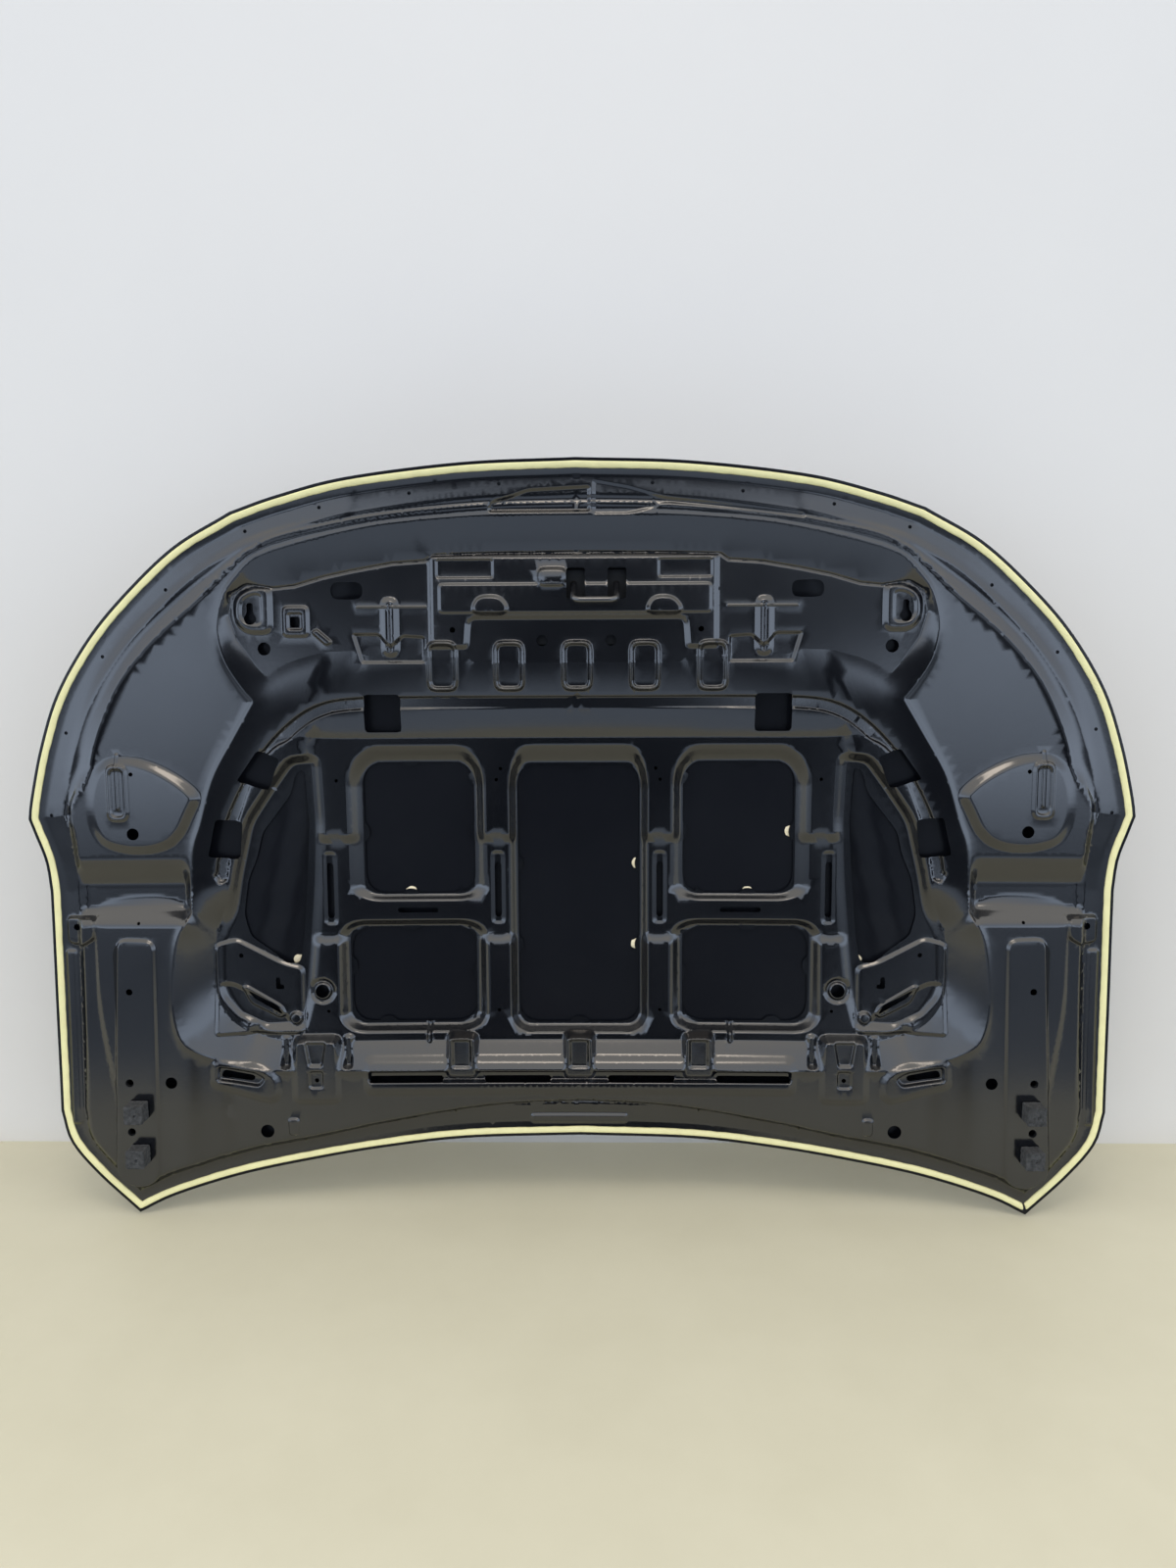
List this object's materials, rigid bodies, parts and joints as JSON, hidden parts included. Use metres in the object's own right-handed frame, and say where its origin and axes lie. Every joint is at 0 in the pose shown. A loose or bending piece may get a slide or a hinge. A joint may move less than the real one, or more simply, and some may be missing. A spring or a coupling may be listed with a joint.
{
  "type": "car bonnet",
  "caption": "Pressed steel car bonnet: an outer skin hemmed around a ribbed inner panel, with striker loop, hinge pads, edge sealer and mastic beads.",
  "frame": {"origin": "middle of the hinge line, halfway between the two hinge pads, in the plane of their faces", "axes": "+X across the bonnet to the right as seen from its inner side, +Z from the hinges up to the nose, +Y out through the outer skin"},
  "size_m": [1.45, 0.092, 1.001],
  "materials": {
    "painted_skin": "satin",
    "painted_inner": "satin",
    "sealer": "matte",
    "striker_steel": "satin",
    "coated_plate": "satin",
    "foam": "matte",
    "mastic": "matte"
  },
  "bodies": {
    "root": {"outer_panel": "painted_skin", "inner_panel": "painted_inner", "hem_sealer": "sealer", "striker_loop": "striker_steel", "latch_plate": "coated_plate", "hinge_plate_left": "coated_plate", "weld_nut_left_1": "coated_plate", "weld_nut_left_2": "coated_plate", "foam_block_left_1": "foam", "foam_block_left_2": "foam", "hinge_plate_right": "coated_plate", "weld_nut_right_1": "coated_plate", "weld_nut_right_2": "coated_plate", "foam_block_right_1": "foam", "foam_block_right_2": "foam", "mastic_bead_01": "mastic", "mastic_bead_02": "mastic", "mastic_bead_03": "mastic", "mastic_bead_04": "mastic", "mastic_bead_05": "mastic", "mastic_bead_06": "mastic", "mastic_bead_07": "mastic", "mastic_bead_08": "mastic", "mastic_bead_09": "mastic", "mastic_bead_10": "mastic", "mastic_bead_11": "mastic", "mastic_bead_12": "mastic", "mastic_bead_13": "mastic", "mastic_bead_14": "mastic", "mastic_bead_15": "mastic", "mastic_bead_16": "mastic", "mastic_bead_17": "mastic", "mastic_bead_18": "mastic", "mastic_bead_19": "mastic", "mastic_bead_20": "mastic", "mastic_bead_21": "mastic", "mastic_bead_22": "mastic", "mastic_bead_23": "mastic", "mastic_bead_24": "mastic"}
  },
  "joints": []
}
